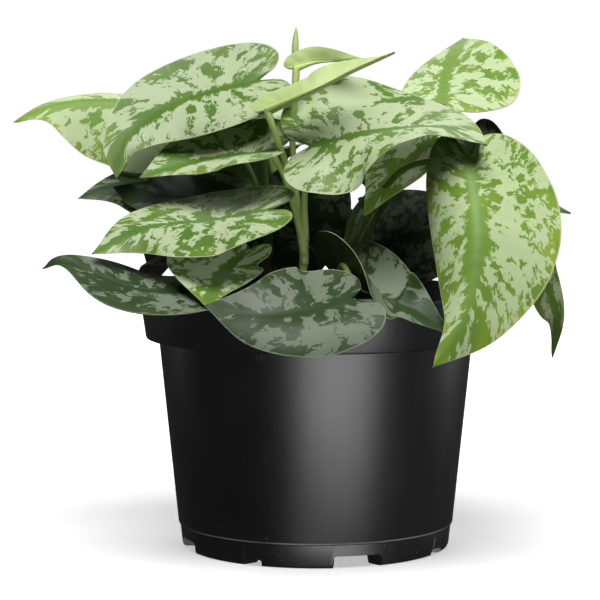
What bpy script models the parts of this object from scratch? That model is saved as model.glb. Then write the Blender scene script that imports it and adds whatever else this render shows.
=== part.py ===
# A satin pothos in its black nursery pot. Rooted vines stand in plain holes in the potting
# soil. Each vine is one solid: its stem, its leaf stalks and its heart-shaped blades. Places
# are in millimetres from the foot of the pot's axis: X to the right, Y away from the viewer,
# Z up from the floor.
import math

import bmesh
import bpy
from mathutils import Matrix, Vector, noise

MM = 0.001

# Where the pot's axis stands, so that the origin is under the middle of the whole spread
PLACE = (9.65, 1.10, 0.0)

# Pot: a moulded wall with a stepped collar, a raised floor and a notched foot
POT_STEPS = 48
POT_HEIGHT = 120.0
WALL = 1.5
COLLAR_TOP_R = 82.5
COLLAR_FOOT_R = 79.6
COLLAR_FOOT_Z = 98.0
COLLAR_ROUND = 1.2
BODY_TOP_R = 73.4
BEAD_Z = 11.6
BEAD_R = 64.6
BEAD_STEP = 0.7
FOOT_R = 62.8
FOOT_ROUND = 1.6
FOOT_RING = 9.0
FOOT_DRAFT = 1.5
FLOOR_Z = 6.5
BIG_NOTCH = {"count": 4, "first_deg": -72.4, "wide": 24.0, "high": 5.6}
SMALL_NOTCH = {"count": 4, "first_deg": -27.4, "wide": 10.5, "high": 3.0}
# A notch is a wedge in plan: it grows wider outwards by this share of the way
NOTCH_FLARE = 0.8
NOTCH_LONG = 24.0
DRAIN_HOLES = {"count": 4, "first_deg": -27.4, "ring_r": 40.0, "hole_r": 5.0}
CUT_PAST = 5.0
SHARP_DEG = 35

# Soil: fills the pot to a little below the lip, with a crumbled top
SOIL_STEPS = 30
SOIL_GAP = 0.35
SOIL_TOP_Z = 105.0
SOIL_RINGS = (0.22, 0.42, 0.60, 0.76, 0.90)
SOIL_LUMP = 2.6
SOIL_LUMP_SIZE = 11.0
SOIL_EDGE_DROP = 2.0
HOLE_DEPTH = 30.0
HOLE_GAP = 0.35
HOLE_SIDES = 12

# Vines and blades
STEM_SIDES = 8
STALK_SIDES = 6
STEM_R = 2.4
STEM_TIP_R = 1.9
STALK_R = 1.5
NODE_STEP = 3.7
RIB_END_R = 0.55
RIB_SHARE = 0.30
RIB_STEPS = 3
RIB_SINK = 0.3
# Under a blade whose halves hang like a tent the rib lies deeper, by this much of the fold
RIB_HANG = 1.3
SPEAR_R = (0.9, 1.6, 0.7)
STALK_POINTS = 5
BLADE_THICK = 0.7
BLADE_ROWS = 10
BLADE_COLUMNS = 6
RIB_SAMPLES = 48
# A lateral vein leaves the midrib nearer the base than where it meets the margin
VEIN_LAG = 1.8
# Half of a blade's outline from the notch at the stalk to the tip:
# (share of half the width, share of the length)
OUTLINE = (
    (0.00, 0.00), (0.18, -0.10), (0.50, -0.14), (0.81, -0.07), (0.98, 0.09), (0.99, 0.28),
    (0.88, 0.46), (0.68, 0.64), (0.42, 0.80), (0.16, 0.93), (0.00, 1.00),
)

# The vines, each with its stem and its blades. In a blade, rib is the line of the midrib
# from the stalk to the tip, faces is the way its upper side looks, halves are the widths of
# its left and right halves, fold and curl are the angles in degrees by which they turn up
# at the midrib and further on towards the margin, tip_fold is the fold at the tip where it
# differs, and stalk is what its leaf stalk passes on the way from the stem. A spear is the
# next leaf, still rolled up, beside the youngest one.
VINES = {
    "vine_front_centre": {
        "stem": ((-6, -16), (-6, -17, 124), (-5, -19, 146)),
        "blades": {
            "centre": {
                "rib": (
                    (-2.9, -32.4, 188.2), (26.5, -37, 194.6), (54.2, -50.6, 197), (75.1, -66.9, 189.2),
                ),
                "faces": (0.63, -0.44, 0.64), "halves": (38.3, 31.7),
                "fold": (16, -5), "curl": (-5, -15), "tip_fold": (12, -10), "stalk": ((-5, -24, 168),),
            },
            "under_left": {
                "rib": (
                    (-20.4, -28.5, 185.9), (-41.4, -22.5, 183), (-60.4, -23.4, 179.5), (-80, -34, 173.7),
                ),
                "faces": (0.19, -0.34, 0.92), "halves": (23.9, 23.8),
                "fold": (15, 25), "curl": (-19, 4), "stalk": ((-14, -26, 173),),
            },
            "rolled": {
                "rib": (
                    (-20.7, -38.7, 203.9), (-1.3, -46.4, 212.7), (15.8, -42.3, 221.5), (35.4, -40.9, 230.1),
                ),
                "faces": (0.14, 0.68, 0.72), "halves": (13, 17),
                "fold": (52, 60), "curl": (50, 72), "tip_fold": (60, 75),
                "stalk": ((-12, -24, 173), (-17, -36, 192)),
            },
            "youngest": {
                "rib": ((-9.4, -15.5, 223.8), (-0.5, -15, 226.2), (11, -19, 227), (23.5, -21, 227.6)),
                "faces": (0.02, 0.37, 0.93), "halves": (11, 8.5), "fold": (60, 48), "curl": (14, 21),
                "stalk": ((-10.5, -15, 185), (-10, -17, 208)),
                "spear": ((-9.5, -15.3, 224), (-9.4, -15.2, 233), (-9.0, -15, 241.5)),
            },
        },
    },
    "vine_left": {
        "stem": ((-24, -2), (-24, -2, 124), (-22, -1, 146)),
        "blades": {
            "top_left": {
                "rib": (
                    (-26.7, -5.5, 218.3), (-66.9, -8.9, 206.4), (-88.3, -22.4, 189.8), (-90.6, -29.9, 173),
                ),
                "faces": (0.02, -0.54, 0.84), "halves": (27.7, 26.2),
                "fold": (15, 10), "curl": (-38, 15), "tip_fold": (-4, 5), "stalk": ((-24, 4, 180),),
            },
            "far_left": {
                "rib": (
                    (-71.8, 24.3, 203.2), (-97.4, 18.2, 207.9), (-126.1, 15.4, 205.5), (-141.3, 3.6, 198.4),
                ),
                "faces": (-0.26, -0.77, 0.58), "halves": (33.2, 29),
                "fold": (-15, -35), "curl": (-14, -23), "stalk": ((-34, 14, 180),),
            },
            "broad_left": {
                "rib": (
                    (-21.3, -45.4, 159.9), (-46.1, -43.4, 155.4), (-76.8, -45.9, 151.5), (-99.5, -56.3, 140.7),
                ),
                "faces": (0.39, -0.31, 0.87), "halves": (31.8, 27.8),
                "fold": (7, -4), "curl": (-17, 20), "tip_fold": (-13, -9), "stalk": ((-22, -14, 152),),
            },
            "inner_low": {
                "rib": ((-30, 7.5, 137), (-18, 8.5, 136.5), (-6, 9, 131), (4, 9, 123)),
                "faces": (0, -1, 0.15), "halves": (14, 14), "fold": (0, 0), "curl": (6, 6),
                "stalk": ((-27, 3.5, 141),),
            },
        },
    },
    "vine_left_low": {
        "stem": ((-38, -18), (-38, -18, 118), (-36, -17, 130)),
        "blades": {
            "rim_left": {
                "rib": (
                    (-41.8, -52.8, 124.7), (-78, -61.3, 125.6), (-110.5, -55.4, 137.4), (-122.1, -53.8, 134),
                ),
                "faces": (0.16, -0.67, 0.73), "halves": (27.9, 26.9),
                "fold": (37, -19), "curl": (-2, -39), "tip_fold": (9, -5), "stalk": ((-40, -26, 134),),
            },
            "rim_front_left": {
                "rib": (
                    (-31.8, -38.8, 140.3), (-39.9, -45.1, 133.2), (-44.2, -62.3, 126.2), (-46.8, -82.2, 119.7),
                ),
                "faces": (-0.07, -0.16, 0.99), "halves": (19.1, 27.8),
                "fold": (5, 2), "curl": (-4, 25), "tip_fold": (13, 23), "stalk": ((-32, -19, 140),),
            },
            "back_left": {
                "rib": ((-38, 12, 160), (-66, 12, 166), (-92, 7, 168), (-111, 0, 163)),
                "faces": (-0.15, -0.74, 0.62), "halves": (24, 22),
                "fold": (-12, -12), "curl": (-6, -8), "stalk": ((-38, -2, 146),),
            },
            "inner_left": {
                "rib": (
                    (-36, -11.2, 158), (-56.8, -16.2, 162.5), (-78.5, -19.6, 165.3), (-93.6, -11.7, 168.7),
                ),
                "faces": (-0.27, -0.54, 0.8), "halves": (21, 24),
                "fold": (0, 1), "curl": (-5, -11), "stalk": ((-38, -14, 146),),
            },
        },
    },
    "vine_front": {
        "stem": ((10, -36), (10, -36, 116), (10, -36, 126)),
        "blades": {
            "rim_front": {
                "rib": (
                    (15.4, -91.7, 123.8), (-1.5, -98.1, 119.6), (-24.4, -101, 118.2), (-47.8, -94.6, 121.2),
                ),
                "faces": (-0.44, -0.61, 0.65), "halves": (26.7, 27.3),
                "fold": (10, -6), "curl": (-44, 14), "tip_fold": (9, 10),
                "stalk": ((12, -50, 135), (15, -72, 131)),
            },
            "rim_front_right": {
                "rib": (
                    (9.4, -35.6, 129.9), (29.1, -73.4, 122.9), (41.1, -81, 118.6), (59.5, -86.5, 107.9),
                ),
                "faces": (0.8, -0.54, 0.25), "halves": (26.3, 25.1),
                "fold": (78, 10), "curl": (36, 8), "tip_fold": (9, 4), "stalk": ((11, -40, 134),),
            },
        },
    },
    "vine_right": {
        "stem": ((14, -12), (14, -12, 124), (14, -12, 140)),
        "blades": {
            "big_right": {
                "rib": (
                    (67, -56.5, 185.1), (69.8, -81.8, 150.5), (64.8, -95.3, 118), (50.1, -98.9, 95),
                ),
                "faces": (0, -0.89, 0.45), "halves": (43.3, 30.6),
                "fold": (-24, -27), "curl": (-5, -49), "tip_fold": (-15, -30),
                "stalk": ((38, -30, 176),),
            },
            "shaded_right": {
                "rib": (
                    (55.4, -15.9, 191.5), (42.2, -16.8, 180.4), (30.8, -25.8, 169), (21.7, -30.1, 156.5),
                ),
                "faces": (0.14, -0.43, 0.89), "halves": (19.7, 19),
                "fold": (16, -4), "curl": (26, -4), "stalk": ((20, -13, 160),),
            },
            "inner_right": {
                "rib": ((21.1, 10.2, 138), (42.2, 0.6, 144), (64.6, -2.6, 148.4), (86.6, 6, 150.1)),
                "faces": (0.05, -0.83, 0.56), "halves": (29.5, 28.4),
                "fold": (-3, -1), "curl": (-5, 1), "stalk": (),
            },
            "behind_right": {
                "rib": ((72, -4, 190), (81, 0, 168), (90, 4, 146)),
                "faces": (0.3, -0.90, 0.30), "halves": (18, 18),
                "fold": (0, 0), "curl": (-10, -10), "stalk": ((40, -4, 172),),
            },
        },
    },
    "vine_back_right": {
        "stem": ((34, 12), (34, 12, 122), (34, 12, 138)),
        "blades": {
            "top_right": {
                "rib": ((58.8, 5, 207), (61.7, 28.2, 219), (67.7, 50.9, 232.3), (72.6, 70.4, 239.3)),
                "faces": (-0.26, -0.51, 0.82), "halves": (19.7, 36.6),
                "fold": (25, -6), "curl": (-14, -12), "tip_fold": (-12, 15),
                "stalk": ((38, 24, 160), (49, 20, 188)),
            },
            "tip_right": {
                "rib": (
                    (103.8, -15.7, 144.4), (106.2, -13.1, 126), (112, -9, 108.1), (110.4, -10.2, 89.3),
                ),
                "faces": (0.81, -0.58, 0.12), "halves": (20.5, 20.4),
                "fold": (-6, 13), "curl": (-15, -9), "stalk": ((60, 26, 142), (92, 12, 152)),
            },
            "side_right": {
                "rib": ((67, 30, 163), (95, 28, 163), (122, 25, 155)),
                "faces": (0.0, -0.3, 0.95), "halves": (20, 20),
                "fold": (0, 0), "curl": (-10, -10), "stalk": ((46, 24, 152),),
            },
            "rear_right_low": {
                "rib": ((62, 36, 137), (82, 50, 132), (98, 62, 114)),
                "faces": (0.5, 0.3, 0.8), "halves": (24, 24),
                "fold": (4, 4), "curl": (-10, -10), "stalk": ((42, 20, 136),),
            },
        },
    },
    "vine_back_left": {
        "stem": ((-18, 26), (-18, 26, 124), (-17, 26, 146)),
        "blades": {
            "rear_up": {
                "rib": ((-22, 34, 184), (-30, 62, 180), (-36, 84, 152)),
                "faces": (-0.2, 0.2, 0.95), "halves": (24, 24),
                "fold": (6, 6), "curl": (-6, -6), "stalk": ((-18, 29, 166),),
            },
            "rear_left": {
                "rib": ((-48, 38, 163), (-67, 60, 152), (-82, 76, 116)),
                "faces": (-0.4, 0.4, 0.8), "halves": (27, 27),
                "fold": (4, 4), "curl": (-8, -8), "stalk": ((-26, 32, 154),),
            },
            "side_left": {
                "rib": ((-52, 28, 138), (-74, 42, 134), (-90, 52, 114)),
                "faces": (-0.6, 0.2, 0.75), "halves": (24, 24),
                "fold": (0, 0), "curl": (-8, -8), "stalk": ((-30, 27, 138),),
            },
            "rear_crown": {
                "rib": ((-26, 26, 197), (-42, 48, 199), (-60, 72, 186)),
                "faces": (-0.3, 0.1, 0.95), "halves": (23, 23),
                "fold": (8, 8), "curl": (-4, -4), "stalk": ((-20, 22, 172),),
            },
            "inner_back": {
                "rib": ((-5, 16, 170), (-4, 14.5, 154), (-4, 14.5, 136), (-5, 16, 119)),
                "faces": (0, -1, 0.1), "halves": (21, 21), "fold": (0, 0), "curl": (5, 5),
                "stalk": ((-14, 23, 158), (-8.5, 20, 170)),
            },
        },
    },
    "vine_back": {
        "stem": ((10, 32), (10, 32, 122), (10, 32, 140)),
        "blades": {
            "rear_low": {
                "rib": ((-6, 46, 155), (-5, 80, 145), (-2, 111.8, 114)),
                "faces": (0, 0.5, 0.85), "halves": (27, 27),
                "fold": (4, 4), "curl": (-10, -10), "stalk": ((5, 36, 148),),
            },
            "rear_right": {
                "rib": ((39, 48, 157), (57, 70, 145), (71, 88, 113)),
                "faces": (0.4, 0.4, 0.8), "halves": (25, 25),
                "fold": (4, 4), "curl": (-8, -8), "stalk": ((18, 42, 148),),
            },
            "rear_high": {
                "rib": ((12, 44, 186), (24, 68, 182), (34, 90, 156)),
                "faces": (0.2, 0.2, 0.95), "halves": (24, 24),
                "fold": (8, 8), "curl": (-4, -4), "stalk": ((11, 36, 164),),
            },
        },
    },
}

COLOURS = {
    "pot": ((0.012, 0.012, 0.013), 0.38),
    "soil": ((0.030, 0.020, 0.013), 0.95),
    "vine": ((0.30, 0.43, 0.20), 0.45),
}


def body_radius(z):
    """Outer radius of the pot's tapered body at height z."""
    share = (z - BEAD_Z) / (COLLAR_FOOT_Z - BEAD_Z)
    return BEAD_R + (BODY_TOP_R - BEAD_R) * share


def smooth_line(points, count):
    """count + 1 points, evenly spaced, on a smooth curve through the given points."""
    points = [Vector(p) for p in points]
    ends = [2 * points[0] - points[1]] + points + [2 * points[-1] - points[-2]]
    fine = []
    for a, b, c, d in zip(ends, ends[1:], ends[2:], ends[3:]):
        for step in range(12):
            t = step / 12
            fine.append(
                0.5 * (2 * b + (c - a) * t + (2 * a - 5 * b + 4 * c - d) * t * t
                       + (3 * b - a - 3 * c + d) * t ** 3)
            )
    fine.append(points[-1])
    along = [0.0]
    for a, b in zip(fine, fine[1:]):
        along.append(along[-1] + (b - a).length)
    even, at = [], 0
    for i in range(count + 1):
        want = along[-1] * i / count
        while at < len(fine) - 2 and along[at + 1] < want:
            at += 1
        share = (want - along[at]) / (along[at + 1] - along[at])
        even.append(fine[at].lerp(fine[at + 1], min(share, 1.0)))
    return even


def finished(bm, name, colour):
    """The bmesh as an object, with its faces pointing out."""
    bmesh.ops.recalc_face_normals(bm, faces=bm.faces[:])
    bmesh.ops.scale(bm, vec=(MM, MM, MM), verts=bm.verts[:])
    mesh = bpy.data.meshes.new(name)
    bm.to_mesh(mesh)
    bm.free()
    obj = bpy.data.objects.new(name, mesh)
    bpy.context.scene.collection.objects.link(obj)
    mesh.materials.append(material(colour))
    return obj


def material(name):
    found = bpy.data.materials.get(name)
    if found:
        return found
    colour, roughness = COLOURS[name]
    made = bpy.data.materials.new(name)
    made.use_nodes = True
    shader = made.node_tree.nodes["Principled BSDF"]
    shader.inputs["Base Color"].default_value = (*colour, 1.0)
    shader.inputs["Roughness"].default_value = roughness
    shader.inputs["Metallic"].default_value = 0.0
    return made


def turned(profile, steps):
    """A closed solid turned round Z from an outline of (radius, z) that starts and ends on the axis."""
    bm = bmesh.new()
    verts = [bm.verts.new((r, 0.0, z)) for r, z in profile]
    edges = [bm.edges.new(pair) for pair in zip(verts, verts[1:])]
    bmesh.ops.spin(
        bm, geom=verts + edges, cent=(0, 0, 0), axis=(0, 0, 1),
        angle=math.tau, steps=steps, use_merge=True,
    )
    bmesh.ops.remove_doubles(bm, verts=bm.verts[:], dist=1e-4)
    return bm


def cut(obj, cutters, operation="DIFFERENCE", solver="EXACT"):
    """Cuts or joins a list of objects with obj by one Boolean, and removes them."""
    group = bpy.data.collections.new(obj.name + "_cutters")
    bpy.context.scene.collection.children.link(group)
    for cutter in cutters:
        bpy.context.scene.collection.objects.unlink(cutter)
        group.objects.link(cutter)
    modifier = obj.modifiers.new("cut", "BOOLEAN")
    modifier.operation = operation
    modifier.operand_type = "COLLECTION"
    modifier.collection = group
    modifier.solver = solver
    graph = bpy.context.evaluated_depsgraph_get()
    mesh = bpy.data.meshes.new_from_object(obj.evaluated_get(graph))
    obj.modifiers.clear()
    obj.data = mesh
    for cutter in cutters:
        bpy.data.objects.remove(cutter)
    bpy.data.collections.remove(group)
    return obj


def wedge(name, wide, high, place):
    """A cutter for one foot notch, wider at its outer end, put in place by a matrix."""
    bm = bmesh.new()
    bmesh.ops.create_cube(bm, size=1.0)
    bmesh.ops.scale(bm, vec=(NOTCH_LONG, wide, 2 * high), verts=bm.verts[:])
    for v in bm.verts:
        v.co.y *= 1.0 + NOTCH_FLARE * v.co.x / wide
    bmesh.ops.transform(bm, matrix=place, verts=bm.verts[:])
    return finished(bm, name, "pot")


def drum(name, radius, low, high, x, y, sides):
    """A cutter cylinder that stands upright from low to high."""
    bm = bmesh.new()
    bmesh.ops.create_cone(
        bm, cap_ends=True, segments=sides, radius1=radius, radius2=radius,
        depth=high - low, matrix=Matrix.Translation((x, y, (low + high) / 2)),
    )
    return finished(bm, name, "soil")


def make_pot():
    inner = lambda z: body_radius(z) - WALL
    profile = (
        (0.0, FLOOR_Z),
        (FOOT_R - FOOT_RING - FOOT_DRAFT, FLOOR_Z),
        (FOOT_R - FOOT_RING, 0.0),
        (FOOT_R - FOOT_ROUND, 0.0),
        (FOOT_R, FOOT_ROUND),
        (BEAD_R - BEAD_STEP, BEAD_Z - BEAD_STEP),
        (BEAD_R, BEAD_Z),
        (BODY_TOP_R, COLLAR_FOOT_Z),
        (COLLAR_FOOT_R - COLLAR_ROUND, COLLAR_FOOT_Z),
        (COLLAR_FOOT_R, COLLAR_FOOT_Z + COLLAR_ROUND),
        (COLLAR_TOP_R, POT_HEIGHT),
        (COLLAR_TOP_R - WALL, POT_HEIGHT),
        (COLLAR_FOOT_R - WALL, COLLAR_FOOT_Z + WALL),
        (inner(COLLAR_FOOT_Z), COLLAR_FOOT_Z + WALL),
        (inner(FLOOR_Z + 2 * WALL), FLOOR_Z + 2 * WALL),
        (inner(FLOOR_Z) - WALL, FLOOR_Z + WALL),
        (0.0, FLOOR_Z + WALL),
    )
    pot = finished(turned(profile, POT_STEPS), "pot", "pot")
    cutters = []
    for notch in (BIG_NOTCH, SMALL_NOTCH):
        for i in range(notch["count"]):
            turn = math.radians(notch["first_deg"] + 360.0 * i / notch["count"])
            place = Matrix.Rotation(turn, 4, "Z") @ Matrix.Translation((FOOT_R, 0, 0))
            cutters.append(wedge("notch", notch["wide"], notch["high"], place))
    for i in range(DRAIN_HOLES["count"]):
        turn = math.radians(DRAIN_HOLES["first_deg"] + 360.0 * i / DRAIN_HOLES["count"])
        x, y = (DRAIN_HOLES["ring_r"] * f(turn) for f in (math.cos, math.sin))
        cutters.append(
            drum("drain", DRAIN_HOLES["hole_r"], FLOOR_Z - CUT_PAST, FLOOR_Z + WALL + CUT_PAST,
                 x, y, HOLE_SIDES)
        )
    return cut(pot, cutters)


def make_soil():
    inner = lambda z: body_radius(z) - WALL - SOIL_GAP
    top_r = COLLAR_FOOT_R - WALL - SOIL_GAP
    low = FLOOR_Z + WALL + SOIL_GAP
    rings = [(top_r * share, SOIL_TOP_Z) for share in reversed(SOIL_RINGS)]
    profile = [
        (0.0, low),
        (inner(FLOOR_Z) - WALL - SOIL_GAP, low),
        (inner(FLOOR_Z + 2 * WALL) - SOIL_GAP, low + 2 * WALL),
        (inner(COLLAR_FOOT_Z), COLLAR_FOOT_Z + WALL + SOIL_GAP),
        (top_r, COLLAR_FOOT_Z + WALL + SOIL_GAP),
        (top_r, SOIL_TOP_Z - SOIL_EDGE_DROP),
        *rings,
        (0.0, SOIL_TOP_Z),
    ]
    bm = turned(profile, SOIL_STEPS)
    for v in bm.verts:
        if v.co.z > SOIL_TOP_Z - SOIL_EDGE_DROP / 2:
            v.co.z += SOIL_LUMP * noise.noise(v.co / SOIL_LUMP_SIZE)
    soil = finished(bm, "soil", "soil")
    holes = []
    for vine in VINES.values():
        x, y = vine["stem"][0]
        holes.append(
            drum("hole", STEM_R + HOLE_GAP, SOIL_TOP_Z - HOLE_DEPTH, SOIL_TOP_Z + CUT_PAST,
                 x, y, HOLE_SIDES)
        )
    return cut(soil, holes)


def tube(name, points, radii, sides):
    """A closed round bar through the points, with its own radius at each."""
    frames = []
    side = Vector((1, 0, 0))
    for i, point in enumerate(points):
        ahead = points[min(i + 1, len(points) - 1)] - points[max(i - 1, 0)]
        ahead.normalize()
        if abs(side.dot(ahead)) > 0.95:
            side = Vector((0, 1, 0))
        side = (side - ahead * side.dot(ahead)).normalized()
        frames.append((point, side * radii[i], ahead.cross(side) * radii[i]))
    bm = bmesh.new()
    bmesh.ops.create_grid(bm, x_segments=sides, y_segments=len(points) - 1, size=1.0)
    for v in bm.verts:
        turn = math.pi * v.co.x
        point, across, over = frames[round((v.co.y + 1) / 2 * (len(points) - 1))]
        v.co = point + across * math.cos(turn) + over * math.sin(turn)
    bmesh.ops.remove_doubles(bm, verts=bm.verts[:], dist=1e-3)
    bmesh.ops.holes_fill(bm, edges=[e for e in bm.edges if e.is_boundary], sides=0)
    return finished(bm, name, "vine")


class Blade:
    """The bent sheet of one blade: where a flat place on it lies in space."""

    def __init__(self, spec):
        self.spec = spec
        self.rib = smooth_line(spec["rib"], RIB_SAMPLES)
        steps = [(b - a).length for a, b in zip(self.rib, self.rib[1:])]
        self.length = sum(steps)
        self.halves = spec["halves"]

    def rib_at(self, s):
        """Point and direction of the midrib at s; it runs straight on behind the stalk."""
        share = s / self.length * RIB_SAMPLES
        at = int(max(0, min(RIB_SAMPLES - 1, math.floor(share))))
        a, b = self.rib[at], self.rib[at + 1]
        before, after = self.rib[max(at - 1, 0)], self.rib[min(at + 2, RIB_SAMPLES)]
        part = share - at
        ahead = (b - before).lerp(after - a, min(max(part, 0.0), 1.0)).normalized()
        if s < 0:
            ahead = (b - a).normalized()
        return a + (b - a) * part, ahead

    def frame(self, s):
        """Midrib point, its direction, the upward normal and the way to the right."""
        point, ahead = self.rib_at(s)
        faces = Vector(self.spec["faces"])
        up = (faces - ahead * faces.dot(ahead)).normalized()
        return point, ahead, up, ahead.cross(up)

    def place(self, x, s, lift=0.0):
        """The point at x across and s along the flat blade, lifted off its sheet."""
        point, _, up, right = self.frame(s)
        side = 1 if x >= 0 else -1
        which = 1 if x >= 0 else 0
        fold = self.spec["fold"][which]
        share = min(max(s / self.length, 0.0), 1.0)
        fold += (self.spec.get("tip_fold", self.spec["fold"])[which] - fold) * share
        fold = math.radians(fold)
        turn = math.radians(self.spec["curl"][which]) * abs(x) / self.halves[which]
        mean = fold + turn / 2
        shrink = math.sin(turn / 2) / (turn / 2) if abs(turn) > 1e-6 else 1.0
        out, rise = abs(x) * shrink * math.cos(mean), abs(x) * shrink * math.sin(mean)
        tilt = fold + turn
        point = point + right * side * (out - lift * math.sin(tilt))
        return point + up * (rise + lift * math.cos(tilt))

    def flat(self, across, along):
        """(x, s) of a place that is across, -1 to 1, and along, 0 to 1, one lateral vein."""
        share = along * (len(OUTLINE) - 1)
        at = min(int(share), len(OUTLINE) - 2)
        part = share - at
        wide, ahead = (a + (b - a) * part for a, b in zip(OUTLINE[at], OUTLINE[at + 1]))
        start = along ** VEIN_LAG
        s = start + (ahead - start) * abs(across) ** 1.2
        return across * wide * self.halves[1 if across >= 0 else 0], s * self.length


def make_blade(name, spec):
    """A blade of even thickness, split into the same triangles on both faces."""
    blade = Blade(spec)
    bm = bmesh.new()
    bmesh.ops.create_grid(bm, x_segments=BLADE_COLUMNS, y_segments=BLADE_ROWS, size=1.0)
    for v in bm.verts:
        x, s = blade.flat(v.co.x, (v.co.y + 1) / 2)
        v.co = blade.place(x, s)
    bmesh.ops.remove_doubles(bm, verts=bm.verts[:], dist=1e-3)
    bmesh.ops.triangulate(bm, faces=bm.faces[:])
    bm.normal_update()
    bmesh.ops.solidify(bm, geom=bm.faces[:], thickness=BLADE_THICK)
    return finished(bm, name, "vine")


def make_stalk(name, spec, node):
    """A leaf stalk from the stem to the blade, tapering on as the rib under the blade."""
    blade = Blade(spec)
    way = smooth_line([node, *spec["stalk"], spec["rib"][0]], STALK_POINTS)
    radii = [STALK_R] * len(way)
    hang = max(0.0, -min(spec["fold"]))
    deep = 1.0 / math.cos(math.radians(RIB_HANG * hang))
    way[-1] = blade.place(0.0, 0.0, -RIB_SINK - STALK_R * deep)
    for step in range(1, RIB_STEPS + 1):
        share = step / RIB_STEPS
        radius = STALK_R + (RIB_END_R - STALK_R) * share
        way.append(blade.place(0.0, blade.length * RIB_SHARE * share, -RIB_SINK - radius * deep))
        radii.append(radius)
    return tube(name, way, radii, STALK_SIDES)


def make_vine(name, vine):
    """Stem, stalks and blades of one vine, joined in one solid."""
    root, *rest = vine["stem"]
    foot = Vector((*root, SOIL_TOP_Z - HOLE_DEPTH + SOIL_GAP))
    neck = Vector((*root, SOIL_TOP_Z))
    points = [foot, neck] + [Vector(p) for p in rest]
    radii = [STEM_R] * (len(points) - 1) + [STEM_TIP_R]
    stem = tube(name, points, radii, STEM_SIDES)
    pieces = []
    for i, (blade_name, spec) in enumerate(vine["blades"].items()):
        node = points[-1] - Vector((0, 0, STALK_R + NODE_STEP * i))
        pieces.append(make_blade(name + "_" + blade_name, spec))
        pieces.append(make_stalk(name + "_" + blade_name + "_stalk", spec, node))
        if "spear" in spec:
            points = [Vector(p) for p in spec["spear"]]
            pieces.append(tube(name + "_spear", points, SPEAR_R, STALK_SIDES))
    return cut(stem, pieces, "UNION")


def main():
    for old in list(bpy.data.objects):
        bpy.data.objects.remove(old)
    make_pot()
    make_soil()
    for name, vine in VINES.items():
        make_vine(name, vine)
    for obj in bpy.context.scene.objects:
        obj.location = Vector(PLACE) * MM
        obj.data.shade_smooth()
        obj.data.set_sharp_from_angle(angle=math.radians(SHARP_DEG))


if __name__ == "__main__":
    main()
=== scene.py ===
# A satin pothos in its black nursery pot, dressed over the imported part.
# Lengths are in millimetres from the foot of the pot's axis until a mesh is finished;
# finishMesh then scales it to metres and moves it to where the pot stands in the part.
import math

import bmesh
import bpy
from mathutils import Matrix, Vector, noise


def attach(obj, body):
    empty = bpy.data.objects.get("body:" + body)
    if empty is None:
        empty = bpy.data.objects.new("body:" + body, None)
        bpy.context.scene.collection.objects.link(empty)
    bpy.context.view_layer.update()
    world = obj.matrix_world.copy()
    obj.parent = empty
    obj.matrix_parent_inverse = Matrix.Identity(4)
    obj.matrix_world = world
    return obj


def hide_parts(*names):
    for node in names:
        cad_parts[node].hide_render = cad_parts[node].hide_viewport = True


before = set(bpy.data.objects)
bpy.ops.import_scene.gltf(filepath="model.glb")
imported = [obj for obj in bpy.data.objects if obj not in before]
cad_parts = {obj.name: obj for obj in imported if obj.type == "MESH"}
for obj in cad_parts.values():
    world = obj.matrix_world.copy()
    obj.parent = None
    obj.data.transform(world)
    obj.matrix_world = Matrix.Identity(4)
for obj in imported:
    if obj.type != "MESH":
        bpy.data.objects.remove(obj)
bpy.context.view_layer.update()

millimetre = 0.001
potAxis = Vector((0.00965, 0.00110, 0.0))  # where the pot's axis stands in the part's frame
soilTop = 105.0  # height of the potting mix


# Small helpers for node trees

def give(node, key, value):
    # links the value to an input of the node, or sets it there where it is a constant
    if isinstance(value, bpy.types.NodeSocket):
        node.id_data.links.new(value, node.inputs[key])
    else:
        node.inputs[key].default_value = value


def addNode(tree, kind, inputs=None, **settings):
    made = tree.nodes.new(kind)
    for key, value in settings.items():
        setattr(made, key, value)
    for key, value in (inputs or {}).items():
        give(made, key, value)
    return made


def maths(tree, operation, first, second=0.0):
    return addNode(tree, "ShaderNodeMath", {0: first, 1: second}, operation=operation).outputs[0]


def plus(tree, first, second):
    return maths(tree, "ADD", first, second)


def minus(tree, first, second):
    return maths(tree, "SUBTRACT", first, second)


def times(tree, first, second):
    return maths(tree, "MULTIPLY", first, second)


def vectorMaths(tree, operation, first, second):
    return addNode(tree, "ShaderNodeVectorMath", {0: first, 1: second}, operation=operation).outputs[0]


def fade(tree, value, low, high, start=0.0, end=1.0):
    # a soft step from start to end while value goes from low to high
    return addNode(
        tree, "ShaderNodeMapRange",
        {"Value": value, "From Min": low, "From Max": high, "To Min": start, "To Max": end},
        interpolation_type="SMOOTHSTEP",
    ).outputs[0]


def blendColours(tree, share, first, second, how="MIX"):
    return addNode(
        tree, "ShaderNodeMix", {0: share, 6: first, 7: second}, data_type="RGBA", blend_type=how,
    ).outputs[2]


def tinted(tree, share, colour, tint):
    # the colour, multiplied by the tint where share is 1
    return blendColours(tree, share, colour, blendColours(tree, 1.0, colour, tint, "MULTIPLY"))


def stretched(tree, where, factors):
    return addNode(tree, "ShaderNodeMapping", {"Vector": where, "Scale": factors}).outputs[0]


def speckle(tree, where, scale, detail=2.0, rough=0.5, stretch=None):
    if stretch:
        where = stretched(tree, where, stretch)
    return addNode(
        tree, "ShaderNodeTexNoise",
        {"Vector": where, "Scale": scale, "Detail": detail, "Roughness": rough},
    ).outputs[0]


def readAttribute(tree, name, output="Vector"):
    made = addNode(tree, "ShaderNodeAttribute", attribute_name=name, attribute_type="GEOMETRY")
    return made.outputs[output]


def readPlace(tree):
    return addNode(tree, "ShaderNodeTexCoord").outputs["Object"]


def separate(tree, vector):
    return addNode(tree, "ShaderNodeSeparateXYZ", {0: vector}).outputs


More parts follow.
